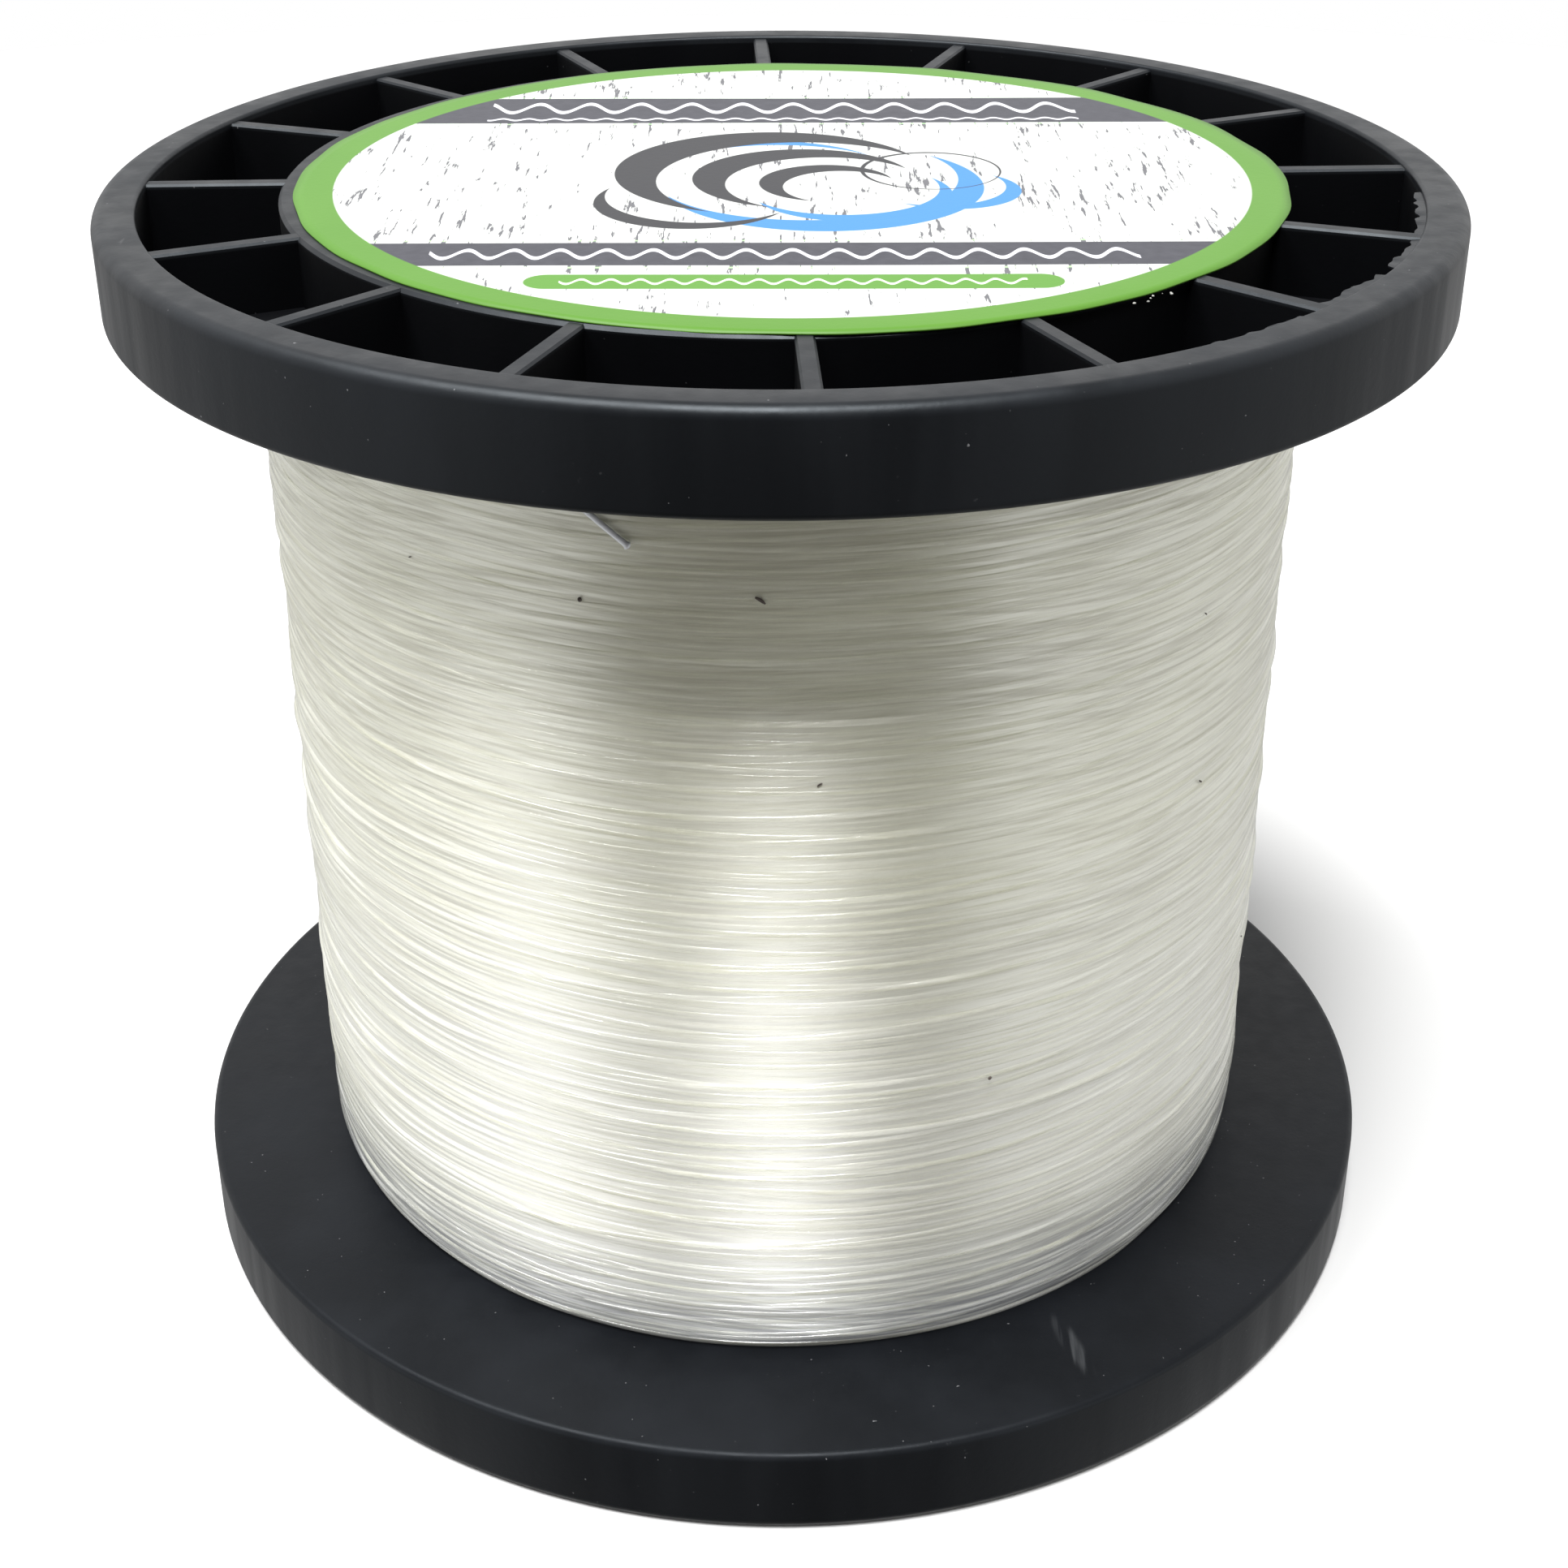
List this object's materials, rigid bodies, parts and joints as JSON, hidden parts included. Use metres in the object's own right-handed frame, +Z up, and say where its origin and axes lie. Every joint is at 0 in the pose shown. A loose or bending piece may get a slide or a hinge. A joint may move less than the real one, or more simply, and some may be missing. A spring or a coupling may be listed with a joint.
{
  "type": "fishing line spool",
  "caption": "Black plastic bulk spool with ribbed flanges and a central spindle bore, wound full of clear monofilament fishing line, with a round printed label on top.",
  "frame": {"origin": "centre of the flat face that the spool stands on, on the spool's axis, at the lower face of the bottom flange", "axes": "+Z up along the spool's axis, -Y towards the front, +X to the right"},
  "size_m": [0.125, 0.125, 0.108],
  "materials": {
    "spool_plastic": "black moulded polystyrene with a satin surface and fine scuffs",
    "barrel_plastic": "black extruded plastic tube",
    "tape": "cream paper masking tape",
    "nylon_line": "clear nylon monofilament, milky where it is wound deep",
    "tail_line": "clear nylon monofilament, single strand",
    "label_film": "printed plastic film label with a green border and a worn white field"
  },
  "bodies": {
    "root": {"bottom_flange": "spool_plastic", "top_flange": "spool_plastic", "barrel": "barrel_plastic", "anchor_tape": "tape", "line_winding": "nylon_line", "line_tail": "tail_line", "label": "label_film"}
  },
  "joints": []
}
